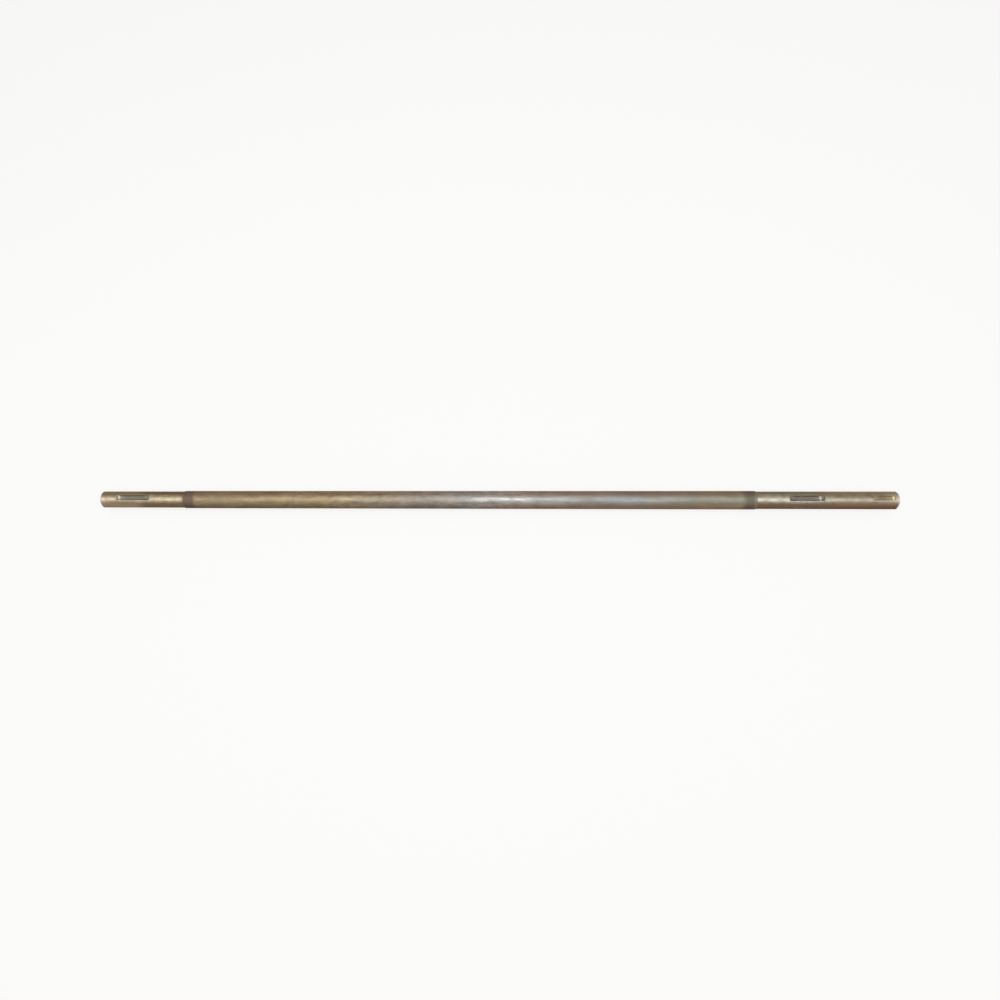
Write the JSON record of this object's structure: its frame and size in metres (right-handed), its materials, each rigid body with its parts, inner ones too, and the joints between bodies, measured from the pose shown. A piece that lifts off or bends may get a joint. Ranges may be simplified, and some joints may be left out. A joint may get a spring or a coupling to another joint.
{
  "type": "mower shaft",
  "caption": "Long straight steel drive shaft with a turned journal and shoulder at each end, disc-cut keyways in one line and bevelled, centre-drilled ends.",
  "frame": {"origin": "on the shaft's axis, at the middle of its overall length", "axes": "+X along the shaft towards the end with the longer journal, +Z out of the mouths of the keyways"},
  "size_m": [1.1938, 0.027, 0.027],
  "materials": {
    "steel": "drawn and turned bare steel with a thin brown oil film and straw tint, dark heat-tinted bands beside the shoulders"
  },
  "bodies": {
    "root": {"shaft": "steel"}
  },
  "joints": []
}
